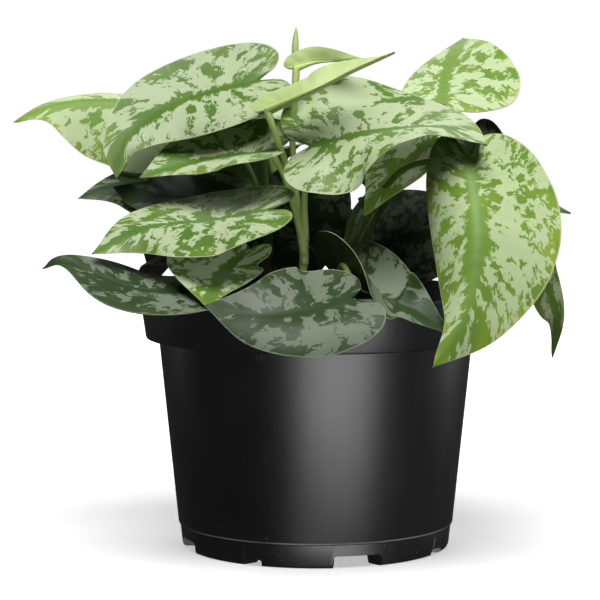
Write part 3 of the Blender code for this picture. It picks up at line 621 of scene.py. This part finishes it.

# The leaves of each vine. rib is the line of the midrib from the stalk to the tip, faces is the
# way the upper side looks, halves are the widths of the left and right halves, fold and curl are
# the degrees by which they turn up at the midrib and on towards the margin (one number where both
# sides are alike), tipFold is the fold at the tip where it differs, and stalk is what the leaf
# stalk passes. tone goes from the youngest leaves to the oldest and also stands for painted light and
# shade: lit leaves sit low, shaded ones high, the darkest deep inside the plant. silver adds cover,
# band widens the midrib band, drip narrows the tip and grain shrinks the pattern. A spear is the
# next leaf, still rolled up.
vines = {
    "vine_front_centre": {
        "centre": dict(
            rib=[(-2.9, -32.4, 188.2), (26.5, -37, 194.6), (54.2, -50.6, 197), (75.1, -66.9, 189.2)],
            faces=(0.63, -0.44, 0.64), halves=(38.3, 31.7), fold=(16, -5), curl=(-5, -15),
            tipFold=(12, -10), stalk=[(-5, -24, 168)], tone=0.22, silver=0.02, band=0.75, seed=3, drip=0.0,
        ),
        "under_left": dict(
            rib=[(-20.4, -28.5, 185.9), (-41.4, -22.5, 183), (-60.4, -23.4, 179.5), (-80, -34, 173.7)],
            faces=(0.19, -0.34, 0.92), halves=(23.9, 23.8), fold=(15, 25), curl=(-19, 4),
            stalk=[(-14, -26, 173)], tone=0.22, band=0.8, seed=7,
        ),
        "rolled": dict(
            rib=[(-20.7, -38.7, 203.9), (-1.3, -46.4, 212.7), (15.8, -42.3, 221.5), (35.4, -40.9, 230.1)],
            faces=(0.14, 0.68, 0.72), halves=(13, 17), fold=(52, 60), curl=(50, 72), tipFold=(60, 75),
            stalk=[(-12, -24, 173), (-17, -36, 192)], tone=0.12, silver=0.02, band=0.7, seed=11, drip=0.5,
        ),
        "youngest": dict(
            rib=[(-9.4, -15.5, 223.8), (-0.5, -15, 226.2), (11, -19, 227), (23.5, -21, 227.6)],
            faces=(0.02, 0.37, 0.93), halves=(11, 8.5), fold=(60, 48), curl=(14, 21),
            stalk=[(-10.5, -15, 185), (-10, -17, 208)],
            spear=[(-9.5, -15.3, 224), (-9.4, -15.2, 233), (-9.0, -15, 241.5)], tone=0.0, band=0.8, seed=13,
        ),
    },
    "vine_left": {
        "top_left": dict(
            rib=[(-26.7, -5.5, 218.3), (-66.9, -8.9, 206.4), (-88.3, -22.4, 189.8), (-90.6, -29.9, 173)],
            faces=(0.02, -0.54, 0.84), halves=(27.7, 26.2), fold=(15, 10), curl=(-38, 15), tipFold=(-4, 5),
            stalk=[(-24, 4, 180)], tone=0.27, silver=0.02, band=1.25, seed=17,
        ),
        "far_left": dict(
            rib=[(-71.8, 24.3, 203.2), (-97.4, 18.2, 207.9), (-126.1, 15.4, 205.5), (-141.3, 3.6, 198.4)],
            faces=(-0.26, -0.77, 0.58), halves=(33.2, 29), fold=(-15, -35), curl=(-14, -23),
            stalk=[(-34, 14, 180)], tone=0.0, silver=0.03, seed=19, drip=0.62,
        ),
        "broad_left": dict(
           
            rib=[(-21.3, -45.4, 159.9), (-46.1, -43.4, 155.4), (-76.8, -45.9, 151.5), (-99.5, -56.3, 140.7)],
            faces=(0.39, -0.31, 0.87), halves=(31.8, 27.8), fold=(7, -4), curl=(-17, 20), tipFold=(-13, -9),
            stalk=[(-22, -14, 152)], tone=0.26, silver=-0.02, band=0.7, seed=23,
        ),
        "inner_low": dict(
            rib=[(-30, 7.5, 137), (-18, 8.5, 136.5), (-6, 9, 131), (4, 9, 123)], faces=(0, -1, 0.15),
            halves=14, curl=6, stalk=[(-27, 3.5, 141)], tone=0.9, silver=-0.02, seed=127,
        ),
    },
    "vine_left_low": {
        "rim_left": dict(
            rib=[(-41.8, -52.8, 124.7), (-78, -61.3, 125.6), (-110.5, -55.4, 137.4), (-122.1, -53.8, 134)],
            faces=(0.16, -0.67, 0.73), halves=(27.9, 26.9), fold=(37, -19), curl=(-2, -39), tipFold=(9, -5),
            stalk=[(-40, -26, 134)], tone=0.74, silver=-0.02, seed=29, drip=0.55,
        ),
        "rim_front_left": dict(
           
            rib=[(-31.8, -38.8, 140.3), (-39.9, -45.1, 133.2), (-44.2, -62.3, 126.2), (-46.8, -82.2, 119.7)],
            faces=(-0.07, -0.16, 0.99), halves=(19.1, 27.8), fold=(5, 2), curl=(-4, 25), tipFold=(13, 23),
            stalk=[(-32, -19, 140)], tone=0.28, band=0.9, seed=31, grain=0.8, drip=0.3,
        ),
        "back_left": dict(
            rib=[(-38, 12, 160), (-66, 12, 166), (-92, 7, 168), (-111, 0, 163)], faces=(-0.15, -0.74, 0.62),
            halves=(24, 22), fold=-12, curl=(-6, -8), stalk=[(-38, -2, 146)], tone=0.66, silver=-0.04,
            seed=37,
        ),
        "inner_left": dict(
            rib=[(-36, -11.2, 158), (-56.8, -16.2, 162.5), (-78.5, -19.6, 165.3), (-93.6, -11.7, 168.7)],
            faces=(-0.27, -0.54, 0.8), halves=(21, 24), fold=(0, 1), curl=(-5, -11),
            stalk=[(-38, -14, 146)], tone=1.0, silver=-0.04, seed=41,
        ),
    },
    "vine_front": {
        "rim_front": dict(
            rib=[(15.4, -91.7, 123.8), (-1.5, -98.1, 119.6), (-24.4, -101, 118.2), (-47.8, -94.6, 121.2)],
            faces=(-0.44, -0.61, 0.65), halves=(26.7, 27.3), fold=(10, -6), curl=(-44, 14), tipFold=(9, 10),
            stalk=[(12, -50, 135), (15, -72, 131)], tone=0.76, band=0.9, seed=43, grain=0.72,
        ),
        "rim_front_right": dict(
            rib=[(9.4, -35.6, 129.9), (29.1, -73.4, 122.9), (41.1, -81, 118.6), (59.5, -86.5, 107.9)],
            faces=(0.8, -0.54, 0.25), halves=(26.3, 25.1), fold=(78, 10), curl=(36, 8), tipFold=(9, 4),
            stalk=[(11, -40, 134)], tone=0.74, band=1.1, seed=47, grain=0.75,
        ),
    },
    "vine_right": {
        "big_right": dict(
            rib=[(67, -56.5, 185.1), (69.8, -81.8, 150.5), (64.8, -95.3, 118), (50.1, -98.9, 95)],
            faces=(0, -0.89, 0.45), halves=(43.3, 30.6), fold=(-24, -27), curl=(-5, -49),
            tipFold=(-15, -30), stalk=[(38, -30, 176)], tone=0.0, silver=-0.005, band=1.35, seed=53,
        ),
        "shaded_right": dict(
            rib=[(55.4, -15.9, 191.5), (42.2, -16.8, 180.4), (30.8, -25.8, 169), (21.7, -30.1, 156.5)],
            faces=(0.14, -0.43, 0.89), halves=(19.7, 19), fold=(16, -4), curl=(26, -4),
            stalk=[(20, -13, 160)], tone=0.16, silver=-0.03, band=0.9, seed=59,
        ),
        "inner_right": dict(
            rib=[(21.1, 10.2, 138), (42.2, 0.6, 144), (64.6, -2.6, 148.4), (86.6, 6, 150.1)],
            faces=(0.05, -0.83, 0.56), halves=(29.5, 28.4), fold=(-3, -1), curl=(-5, 1), stalk=(),
            tone=0.97, silver=-0.02, seed=61,
        ),
        "behind_right": dict(
            rib=[(72, -4, 190), (81, 0, 168), (90, 4, 146)], faces=(0.3, -0.9, 0.3), halves=18, curl=-10,
            stalk=[(40, -4, 172)], tone=0.8, seed=67,
        ),
    },
    "vine_back_right": {
        "top_right": dict(
            rib=[(58.8, 5, 207), (61.7, 28.2, 219), (67.7, 50.9, 232.3), (72.6, 70.4, 239.3)],
            faces=(-0.26, -0.51, 0.82), halves=(19.7, 36.6), fold=(25, -6), curl=(-14, -12),
            tipFold=(-12, 15), stalk=[(38, 24, 160), (49, 20, 188)], tone=0.06, seed=71,
        ),
        "tip_right": dict(
            rib=[(103.8, -15.7, 144.4), (106.2, -13.1, 126), (112, -9, 108.1), (110.4, -10.2, 89.3)],
            faces=(0.81, -0.58, 0.12), halves=(20.5, 20.4), fold=(-6, 13), curl=(-15, -9),
            stalk=[(60, 26, 142), (92, 12, 152)], tone=0.12, band=1.1, seed=73, drip=0.45,
        ),
        "side_right": dict(
            rib=[(67, 30, 163), (95, 28, 163), (122, 25, 155)], faces=(0, -0.3, 0.95), halves=20, curl=-10,
            stalk=[(46, 24, 152)], tone=0.55, seed=79,
        ),
        "rear_right_low": dict(
            rib=[(62, 36, 137), (82, 50, 132), (98, 62, 114)], faces=(0.5, 0.3, 0.8), halves=24, fold=4,
            curl=-10, stalk=[(42, 20, 136)], tone=0.6, seed=83,
        ),
    },
    "vine_back_left": {
        "rear_up": dict(
            rib=[(-22, 34, 184), (-30, 62, 180), (-36, 84, 152)], faces=(-0.2, 0.2, 0.95), halves=24,
            fold=6, curl=-6, stalk=[(-18, 29, 166)], tone=0.2, silver=0.02, seed=89,
        ),
        "rear_left": dict(
            rib=[(-48, 38, 163), (-67, 60, 152), (-82, 76, 116)], faces=(-0.4, 0.4, 0.8), halves=27, fold=4,
            curl=-8, stalk=[(-26, 32, 154)], tone=0.35, seed=97,
        ),
        "side_left": dict(
            rib=[(-52, 28, 138), (-74, 42, 134), (-90, 52, 114)], faces=(-0.6, 0.2, 0.75), halves=24,
            curl=-8, stalk=[(-30, 27, 138)], tone=0.6, seed=101,
        ),
        "rear_crown": dict(
            rib=[(-26, 26, 197), (-42, 48, 199), (-60, 72, 186)], faces=(-0.3, 0.1, 0.95), halves=23,
            fold=8, curl=-4, stalk=[(-20, 22, 172)], tone=0.15, band=0.9, seed=103,
        ),
        "inner_back": dict(
            rib=[(-5, 16, 170), (-4, 14.5, 154), (-4, 14.5, 136), (-5, 16, 119)], faces=(0, -1, 0.1),
            halves=21, curl=5, stalk=[(-14, 23, 158), (-8.5, 20, 170)], tone=0.95, silver=-0.03, seed=131,
        ),
    },
    "vine_back": {
        "rear_low": dict(
            rib=[(-6, 46, 155), (-5, 80, 145), (-2, 111.8, 114)], faces=(0, 0.5, 0.85), halves=27, fold=4,
            curl=-10, stalk=[(5, 36, 148)], tone=0.55, seed=107,
        ),
        "rear_right": dict(
            rib=[(39, 48, 157), (57, 70, 145), (71, 88, 113)], faces=(0.4, 0.4, 0.8), halves=25, fold=4,
            curl=-8, stalk=[(18, 42, 148)], tone=0.4, silver=0.02, seed=109,
        ),
        "rear_high": dict(
            rib=[(12, 44, 186), (24, 68, 182), (34, 90, 156)], faces=(0.2, 0.2, 0.95), halves=24, fold=8,
            curl=-4, stalk=[(11, 36, 164)], tone=0.2, band=1.1, seed=113,
        ),
    },
}


# Pot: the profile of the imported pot, with fine rounds and bevelled foot notches

potShape = {
    "steps": 192, "height": 120.0, "wall": 1.5,
    "collarTop": 82.5, "collarFoot": 79.6, "collarFootZ": 98.0, "bodyTop": 73.4, "collarRound": 1.2, "lip": 0.5,
    "beadZ": 11.6, "beadRadius": 64.6, "beadStep": 0.7,
    "footRadius": 62.8, "footRing": 9.0, "footDraft": 1.5, "footRound": 1.6, "floorZ": 6.5,
    "notches": [
        {"count": 4, "first": -72.4, "wide": 24.0, "high": 5.6, "round": 2.2},
        {"count": 4, "first": -27.4, "wide": 10.5, "high": 3.0, "round": 1.2},
    ],
    "notchLong": 24.0, "notchFlare": 0.8,
    "drain": {"count": 4, "first": -27.4, "ring": 40.0, "radius": 5.0},
}


def bodyRadius(z):
    shape = potShape
    share = (z - shape["beadZ"]) / (shape["collarFootZ"] - shape["beadZ"])
    return shape["beadRadius"] + (shape["bodyTop"] - shape["beadRadius"]) * share


def spinProfile(outline, steps):
    # a solid turned round Z from (radius, z) points that start and end on the axis
    bm = bmesh.new()
    line = [bm.verts.new((radius, 0.0, z)) for radius, z in outline]
    edges = [bm.edges.new(pair) for pair in zip(line, line[1:])]
    bmesh.ops.spin(
        bm, geom=line + edges, cent=(0, 0, 0), axis=(0, 0, 1), angle=math.tau, steps=steps, use_merge=True,
    )
    bmesh.ops.remove_doubles(bm, verts=bm.verts[:], dist=1e-4)
    bmesh.ops.recalc_face_normals(bm, faces=bm.faces[:])
    return bm


def carve(piece, cutters):
    # takes the cutters out of the piece by one Boolean and removes them
    group = bpy.data.collections.new("cutters")
    for cutter in cutters:
        bpy.context.scene.collection.objects.unlink(cutter)
        group.objects.link(cutter)
    bpy.context.scene.collection.children.link(group)
    modifier = piece.modifiers.new("carve", "BOOLEAN")
    modifier.operation = "DIFFERENCE"
    modifier.operand_type = "COLLECTION"
    modifier.collection = group
    modifier.solver = "EXACT"
    graph = bpy.context.evaluated_depsgraph_get()
    carved = bpy.data.meshes.new_from_object(piece.evaluated_get(graph))
    piece.modifiers.clear()
    piece.data = carved
    for cutter in cutters:
        bpy.data.objects.remove(cutter)
    bpy.data.collections.remove(group)
    carved.shade_smooth()
    carved.set_sharp_from_angle(angle=math.radians(32))


potLook = {
    "black": (0.0038, 0.0039, 0.0041, 1), "worn": (0.014, 0.014, 0.0145, 1), "dust": (0.16, 0.15, 0.13, 1),
    "beadHighlight": (0.17, 0.17, 0.17, 1), "beadHeight": 0.0114, "collarHeight": 0.0955,
    "roughness": 0.30, "specular": 0.6,
}


def makePotSkin():
    made, tree, shader = newMaterial("pot_black_plastic")
    look = potLook
    place = readPlace(tree)
    grain = speckle(tree, place, 1900.0, 3.0, 0.6)
    cloud = speckle(tree, place, 26.0, 3.0, stretch=(1.0, 1.0, 0.45))
    colour = blendColours(tree, fade(tree, cloud, 0.35, 0.75, 0.0, 0.30), look["black"], look["worn"])
    # specks of dried soil and dust, mostly low on the wall and under the collar
    height = separate(tree, place)[2]
    low = fade(tree, height, 0.004, 0.034, 1.0, 0.0)
    fromCollar = maths(tree, "ABSOLUTE", minus(tree, height, look["collarHeight"]))
    under = fade(tree, fromCollar, 0.0005, 0.0035, 0.7, 0.0)
    where = maths(tree, "MAXIMUM", maths(tree, "MAXIMUM", low, under), 0.16)
    specks = fade(tree, speckle(tree, place, 780.0, 2.0, 0.6), 0.655, 0.735)
    streak = speckle(tree, place, 240.0, 3.0, stretch=(1.0, 1.0, 0.12))
    streak = fade(tree, streak, 0.58, 0.80, 0.0, 0.35)
    dust = times(tree, maths(tree, "MAXIMUM", specks, streak), where)
    colour = blendColours(tree, times(tree, dust, 0.35), colour, look["dust"])
    # painted highlight: the bead's edge, where it catches the light, is painted pale grey
    fromBead = maths(tree, "ABSOLUTE", minus(tree, height, look["beadHeight"]))
    beadHighlight = fade(tree, fromBead, 0.00022, 0.00048, 1.0, 0.0)
    beadHighlight = times(tree, beadHighlight, fade(tree, cloud, 0.30, 0.55, 0.35, 0.95))
    colour = blendColours(tree, beadHighlight, colour, look["beadHighlight"])
    give(shader, "Base Color", colour)
    rough = plus(tree, times(tree, cloud, 0.14), times(tree, dust, 0.25))
    give(shader, "Roughness", plus(tree, rough, look["roughness"]))
    give(shader, "Specular IOR Level", look["specular"])
    addBump(tree, shader, grain, 0.00012, 0.35)
    return made


def makeNotch(notch, turn):
    shape = potShape
    bm = bmesh.new()
    bmesh.ops.create_cube(bm, size=1.0)
    bmesh.ops.scale(bm, vec=(shape["notchLong"], notch["wide"], 2 * notch["high"]), verts=bm.verts[:])
    for v in bm.verts:
        v.co.y *= 1 + shape["notchFlare"] * v.co.x / notch["wide"]  # wider outwards
    lying = [e for e in bm.edges if abs((e.verts[0].co - e.verts[1].co).normalized().x) > 0.9]
    bmesh.ops.bevel(
        bm, geom=lying, offset=notch["round"], segments=6, profile=0.5, affect="EDGES", material=-1,
    )
    bmesh.ops.translate(bm, vec=(shape["footRadius"], 0, 0), verts=bm.verts[:])
    bmesh.ops.rotate(bm, cent=(0, 0, 0), matrix=Matrix.Rotation(turn, 3, "Z"), verts=bm.verts[:])
    return finishMesh(bm, "notch", [potSkin])


def makeDrain(drain, turn):
    bm = bmesh.new()
    ring, radius = drain["ring"], drain["radius"]
    place = Matrix.Translation((ring * math.cos(turn), ring * math.sin(turn), potShape["floorZ"]))
    bmesh.ops.create_cone(
        bm, cap_ends=True, segments=40, radius1=radius, radius2=radius, depth=12, matrix=place,
    )
    return finishMesh(bm, "drain", [potSkin])


def makePot():
    shape = potShape
    wall, height, floorZ, lip = shape["wall"], shape["height"], shape["floorZ"], shape["lip"]
    footRadius, ringRadius = shape["footRadius"], shape["footRadius"] - shape["footRing"]
    beadRadius, beadZ, step = shape["beadRadius"], shape["beadZ"], shape["beadStep"]
    collarTop, collarFoot, collarFootZ = shape["collarTop"], shape["collarFoot"], shape["collarFootZ"]
    outline = [
        # floor and foot ring
        (0.0, floorZ), (ringRadius - shape["footDraft"], floorZ), (ringRadius, 0.4), (ringRadius + 0.4, 0.0),
        (footRadius - shape["footRound"], 0.0), (footRadius - 0.5, 0.5), (footRadius, shape["footRound"]),
        # bead and wall
        (beadRadius - step - 0.1, beadZ - step - 0.2), (beadRadius - 0.15, beadZ - 0.35), (beadRadius, beadZ),
        (shape["bodyTop"], collarFootZ - 0.5), (shape["bodyTop"] + 0.4, collarFootZ),
        # collar and lip
        (collarFoot - shape["collarRound"], collarFootZ), (collarFoot - 0.35, collarFootZ + 0.35),
        (collarFoot, collarFootZ + shape["collarRound"]),
        (collarTop, height - lip), (collarTop - 0.3, height),
        (collarTop - wall + 0.3, height), (collarTop - wall, height - lip),
        # inside
        (collarFoot - wall, collarFootZ + wall), (bodyRadius(collarFootZ) - wall, collarFootZ + wall),
        (bodyRadius(floorZ + 2 * wall) - wall, floorZ + 2 * wall),
        (bodyRadius(floorZ) - 2 * wall, floorZ + wall), (0.0, floorZ + wall),
    ]
    pot = finishMesh(spinProfile(outline, shape["steps"]), "pot_moulded", [potSkin], 32)
    cutters = []
    for make, kinds in ((makeNotch, shape["notches"]), (makeDrain, [shape["drain"]])):
        for kind in kinds:
            for i in range(kind["count"]):
                cutters.append(make(kind, math.radians(kind["first"] + 360 * i / kind["count"])))
    carve(pot, cutters)
    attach(pot, "root")
    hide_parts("pot")
    return pot


# Soil: a dark crumbled top with bark chips, fibre and a little perlite

soilShape = {
    "steps": 120, "rings": 26, "gap": 0.35, "edgeDrop": 2.0,
    "lump": 2.6, "lumpSize": 11.0, "crumb": 1.1, "crumbSize": 2.6,
}
soilLook = {
    "wet": (0.016, 0.011, 0.007, 1), "dry": (0.070, 0.046, 0.028, 1), "fibre": (0.150, 0.100, 0.055, 1),
}
# pieces strewn on the soil: how many, their sizes, forms and colours; ahead turns each spread
strewn = {
    "soil_bark_chips": {
        "count": 420, "sizes": (1.2, 3.6), "form": (1.0, 0.62, 0.34), "ahead": 0.0,
        "skin": "bark_chip", "colours": [(0.085, 0.045, 0.022, 1), (0.022, 0.014, 0.009, 1)], "roughness": 0.85,
    },
    "soil_perlite": {
        "count": 70, "sizes": (0.8, 1.7), "form": (1.0, 0.9, 0.8), "ahead": 1.3,
        "skin": "perlite", "colours": [(0.62, 0.60, 0.55, 1), (0.42, 0.38, 0.32, 1)], "roughness": 0.88,
    },
}
goldenAngle = 2.39996


def makeSoilSkin():
    made, tree, shader = newMaterial("soil_crumbled")
    look = soilLook
    place = readPlace(tree)
    crumbs = addNode(tree, "ShaderNodeTexVoronoi", {"Vector": place, "Scale": 520.0}).outputs["Distance"]
    cloud = speckle(tree, place, 70.0, 4.0, 0.6)
    fibre = fade(tree, speckle(tree, place, 900.0, 3.0, stretch=(1.0, 0.15, 0.6)), 0.62, 0.70)
    colour = blendColours(tree, fade(tree, cloud, 0.35, 0.70), look["wet"], look["dry"])
    colour = blendColours(tree, times(tree, fibre, 0.5), colour, look["fibre"])
    colour = blendColours(tree, fade(tree, crumbs, 0.0, 0.5, 0.0, 0.6), colour, look["wet"])
    give(shader, "Base Color", colour)
    give(shader, "Roughness", fade(tree, cloud, 0.3, 0.7, 0.80, 0.96))
    give(shader, "Specular IOR Level", 0.25)
    addBump(tree, shader, plus(tree, crumbs, times(tree, fibre, 0.3)), 0.0009, 0.8)
    return made


def makeChipSkin(name, colours, rough):
    made, tree, shader = newMaterial(name)
    place = readPlace(tree)
    cloud = speckle(tree, place, 210.0, 2.0)
    grain = speckle(tree, place, 1400.0, 3.0, stretch=(1.0, 0.3, 1.0))
    give(shader, "Base Color", blendColours(tree, fade(tree, cloud, 0.38, 0.62), *colours))
    give(shader, "Roughness", fade(tree, grain, 0.3, 0.7, rough - 0.08, rough + 0.08))
    addBump(tree, shader, grain, 0.0004, 0.7)
    return made


def soilHeight(x, y):
    shape = soilShape
    spot = Vector((x, y, soilTop))
    broad = shape["lump"] * noise.noise(spot / shape["lumpSize"])
    return soilTop + broad + shape["crumb"] * noise.noise(spot / shape["crumbSize"])


def makeSoil():
    shape, pot = soilShape, potShape
    wall, gap, floorZ, shoulderZ = pot["wall"], shape["gap"], pot["floorZ"], pot["collarFootZ"]
    inset = wall + gap
    rim = pot["collarFoot"] - inset
    low = floorZ + inset
    outline = [
        (0.0, low), (bodyRadius(floorZ) - 2 * inset, low),
        (bodyRadius(floorZ + 2 * wall) - inset - gap, low + 2 * wall),
        (bodyRadius(shoulderZ) - inset, shoulderZ + inset), (rim, shoulderZ + inset),
        (rim, soilTop - shape["edgeDrop"]),
        *[(rim * (1 - 0.02 - 0.98 * i / shape["rings"]), soilTop) for i in range(shape["rings"])],
        (0.0, soilTop),
    ]
    bm = spinProfile(outline, shape["steps"])
    for v in bm.verts:
        if v.co.z > soilTop - shape["edgeDrop"] / 2:
            v.co.z = soilHeight(v.co.x, v.co.y)
    soil = finishMesh(bm, "soil_bed", [makeSoilSkin()], 80)
    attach(soil, "root")
    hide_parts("soil")
    for name, kind in strewn.items():
        least, most = kind["sizes"]
        bm = bmesh.new()
        for i in range(kind["count"]):
            # a golden-angle spread, jittered, covers the bed without clumps
            roll = noise.random_vector()
            radius = (rim - 3.5) * math.sqrt((i + 0.5) / kind["count"])
            turn = i * goldenAngle + 0.7 * roll.x + kind["ahead"]
            x, y = radius * math.cos(turn), radius * math.sin(turn)
            size = least + (most - least) * abs(roll.y) ** 1.5
            place = Matrix.Translation((x, y, soilHeight(x, y) + 0.15 * size))
            place = place @ Matrix.Rotation(turn * 3, 4, "Z") @ Matrix.Rotation(0.5 * roll.z, 4, "X")
            place = place @ Matrix.Diagonal((*[size * 0.5 * part for part in kind["form"]], 1.0))
            made = bmesh.ops.create_icosphere(bm, subdivisions=2, radius=1.0, matrix=Matrix())["verts"]
            for v in made:
                v.co = place @ (v.co * (1 + 0.35 * noise.noise(v.co * 1.4 + Vector((i * 1.7, 0, 0)))))
        chips = finishMesh(bm, name, [makeChipSkin(kind["skin"], kind["colours"], kind["roughness"])], 40)
        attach(chips, "root")


# Studio: a pale floor, a bright backdrop all round, soft boxes and the camera

studio = {
    "floor": (0.80, 0.80, 0.80, 1), "floorGlow": 0.48, "glowFrom": (0.12, 0.85),
    "world": (0.042, 0.042, 0.044, 1), "radius": 3.0, "backdropHigh": 5.0, "backdropMiddle": 2.4,
    "shaded": (
        "leaf_shaded_right", "leaf_rim_front_left", "leaf_rolled", "leaf_youngest", "vine_front_centre_stems",
    ),
    "boxes": [
        # name, place, the height it points at, size, watts, and the pieces it lights
        ("overhead", (0.05, -0.58, 1.50), 0.15, (1.1, 0.9), 30.0, "all"),
        ("frontLeft", (-1.20, -1.10, 1.00), 0.16, (0.7, 0.7), 1.2, "all"),
        ("back", (0.2, 1.5, 1.3), 0.12, (1.4, 0.9), 6.0, "all"),
        ("potFront", (0.25, -0.86, -0.20), 0.06, (0.85, 0.40), 7.0, "pot"),
        ("potRight", (1.25, 0.55, 0.35), 0.06, (0.25, 1.0), 5.0, "pot"),
        ("potLeft", (-1.25, 0.62, 0.35), 0.06, (0.15, 1.0), 1.2, "pot"),
        ("shadeFront", (0.15, -1.30, 0.60), 0.15, (0.6, 0.6), 6.0, "shade"),
    ],
    # the photograph's viewpoint: its place, how far it looks down and to the side, and its lens
    "camera": (0.00965, -1.0969, 0.211), "down": math.atan2(205, 2350), "turn": math.atan2(15.7, 2350),
    "lens": 141.0, "sensor": 36.0,
}


def makeFloor():
    bm = bmesh.new()
    bmesh.ops.create_circle(bm, cap_ends=True, segments=96, radius=studio["radius"])
    made, tree, shader = newMaterial("studio_paper")
    place = readPlace(tree)
    give(shader, "Base Color", studio["floor"])
    # far from the pot the paper goes over into the bright backdrop
    away = addNode(tree, "ShaderNodeVectorMath", {0: place}, operation="LENGTH").outputs["Value"]
    give(shader, "Emission Color", (1, 1, 1, 1))
    glow = fade(tree, away, *studio["glowFrom"], studio["floorGlow"], 1.0)
    give(shader, "Emission Strength", glow)
    give(shader, "Roughness", fade(tree, speckle(tree, place, 40.0), 0.3, 0.7, 0.85, 0.95))
    floor = addObject(bm, "studio_floor", [made])
    floor.visible_glossy = False
    floor.visible_diffuse = False


def makeBackdrop():
    bm = bmesh.new()
    bmesh.ops.create_cone(
        bm, cap_ends=False, segments=96, radius1=studio["radius"], radius2=studio["radius"],
        depth=studio["backdropHigh"],
    )
    bmesh.ops.translate(bm, vec=(0, 0, studio["backdropMiddle"]), verts=bm.verts[:])
    made, tree, shader = newMaterial("studio_backdrop_white")
    give(shader, "Base Color", (0, 0, 0, 1))
    give(shader, "Emission Color", (1, 1, 1, 1))
    give(shader, "Emission Strength", 1.0)
    backdrop = addObject(bm, "studio_backdrop", [made])
    backdrop.visible_glossy = False
    backdrop.visible_diffuse = False
    backdrop.visible_shadow = False


def makeStudio(lit):
    makeFloor()
    makeBackdrop()
    scene = bpy.context.scene
    scene.world = bpy.data.worlds.new("studio")
    scene.world.use_nodes = True
    scene.world.node_tree.nodes["Background"].inputs["Color"].default_value = studio["world"]
    for name, place, aim, size, watts, who in studio["boxes"]:
        data = bpy.data.lights.new(name, "AREA")
        data.shape = "RECTANGLE"
        data.size, data.size_y = size
        data.energy = watts
        lamp = bpy.data.objects.new(name, data)
        lamp.location = place
        lamp.rotation_euler = (Vector((0, 0, aim)) - Vector(place)).to_track_quat("-Z", "Y").to_euler()
        lamp.visible_camera = False
        scene.collection.objects.link(lamp)
        if who in lit:
            lamp.light_linking.receiver_collection = lit[who]
            lamp.light_linking.blocker_collection = lit[who]

    data = bpy.data.cameras.new("camera")
    data.lens, data.sensor_width = studio["lens"], studio["sensor"]
    camera = bpy.data.objects.new("camera", data)
    camera.location = studio["camera"]
    camera.rotation_euler = (math.pi / 2 - studio["down"], 0, studio["turn"])
    scene.collection.objects.link(camera)
    scene.camera = camera
    scene.view_settings.view_transform = "Standard"


noise.seed_set(5)
potSkin = makePotSkin()
pot = makePot()
print("pot ready")
makeSoil()
print("soil ready")

upperSkin, underSkin, stalkSkin = makeUpperSkin(), makeUnderSkin(), makeStalkSkin()
for vineName, leaves in vines.items():
    grown = makeStems(vineName + "_stems", stems[vineName], leaves, stalkSkin)
    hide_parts(vineName)
    for leafName, spec in leaves.items():
        leaf = makeLeaf("leaf_" + leafName, spec, [upperSkin, underSkin])
        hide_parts(vineName)
    print(vineName, "ready with", len(leaves), "leaves")

# the pot has its own lights, and so do the front pieces that other leaves shade
lit = {who: bpy.data.collections.new("lit_" + who) for who in ("pot", "shade")}
lit["pot"].objects.link(pot)
for name in studio["shaded"]:
    lit["shade"].objects.link(bpy.data.objects[name])
makeStudio(lit)
print("studio ready")
